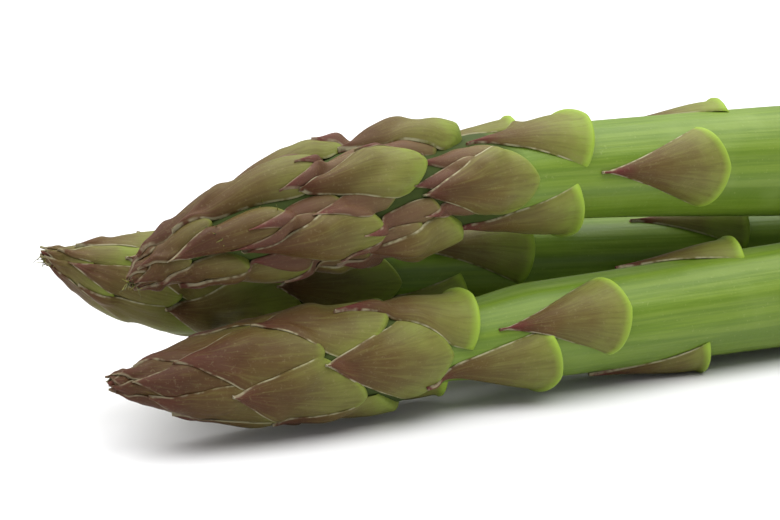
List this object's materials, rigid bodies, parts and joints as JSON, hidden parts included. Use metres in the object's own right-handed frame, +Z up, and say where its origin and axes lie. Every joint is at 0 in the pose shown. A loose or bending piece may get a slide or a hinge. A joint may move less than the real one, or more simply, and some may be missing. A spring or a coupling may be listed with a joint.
{
  "type": "bundle of asparagus",
  "caption": "Bundle of fresh green asparagus spears lying on a surface, with scaly purple-brown heads and smooth green stalks, one spear resting on the others.",
  "frame": {"origin": "under the middle of the bundle's box, on the surface it lies on", "axes": "+X along the spears from their tips to their cut ends, +Z up, -Y towards the front spear's side"},
  "size_m": [0.2058, 0.0328, 0.0345],
  "materials": {
    "stalk_skin": "smooth waxy green plant skin with faint lengthwise ribs, semi-matte, slightly translucent",
    "shoot_tip": "tightly closed leaf points, brown-purple over olive, satin",
    "head_scale": "leathery leaf scale, green at the foot and purple-brown towards the point, thin pale edge, satin",
    "stalk_scale": "papery leaf scale, khaki-brown with a lime-green foot and a magenta point, satin"
  },
  "bodies": {
    "root": {"front_stem": "stalk_skin", "front_tip": "shoot_tip", "front_scale_01": "head_scale", "front_scale_02": "head_scale", "front_scale_03": "head_scale", "front_scale_04": "head_scale", "front_scale_05": "head_scale", "front_scale_06": "head_scale", "front_scale_07": "head_scale", "front_scale_08": "head_scale", "front_scale_09": "head_scale", "front_scale_10": "stalk_scale", "front_scale_11": "stalk_scale", "front_scale_12": "stalk_scale", "front_scale_13": "stalk_scale", "front_scale_14": "stalk_scale", "front_scale_15": "stalk_scale", "front_scale_16": "stalk_scale", "front_scale_17": "stalk_scale", "front_scale_18": "stalk_scale", "rear_stem": "stalk_skin", "rear_tip": "shoot_tip", "rear_scale_01": "head_scale", "rear_scale_02": "head_scale", "rear_scale_03": "head_scale", "rear_scale_04": "head_scale", "rear_scale_05": "head_scale", "rear_scale_06": "head_scale", "rear_scale_07": "head_scale", "rear_scale_08": "head_scale", "rear_scale_09": "head_scale", "rear_scale_10": "stalk_scale", "rear_scale_11": "stalk_scale", "rear_scale_12": "stalk_scale", "rear_scale_13": "stalk_scale", "rear_scale_14": "stalk_scale", "rear_scale_15": "stalk_scale", "rear_scale_16": "stalk_scale", "rear_scale_17": "stalk_scale", "rear_scale_18": "stalk_scale", "upper_stem": "stalk_skin", "upper_tip": "shoot_tip", "upper_scale_01": "head_scale", "upper_scale_02": "head_scale", "upper_scale_03": "head_scale", "upper_scale_04": "head_scale", "upper_scale_05": "head_scale", "upper_scale_06": "head_scale", "upper_scale_07": "head_scale", "upper_scale_08": "head_scale", "upper_scale_09": "head_scale", "upper_scale_10": "stalk_scale", "upper_scale_11": "stalk_scale", "upper_scale_12": "stalk_scale", "upper_scale_13": "stalk_scale", "upper_scale_14": "stalk_scale", "upper_scale_15": "stalk_scale", "upper_scale_16": "stalk_scale", "upper_scale_17": "stalk_scale", "upper_scale_18": "stalk_scale"}
  },
  "joints": []
}
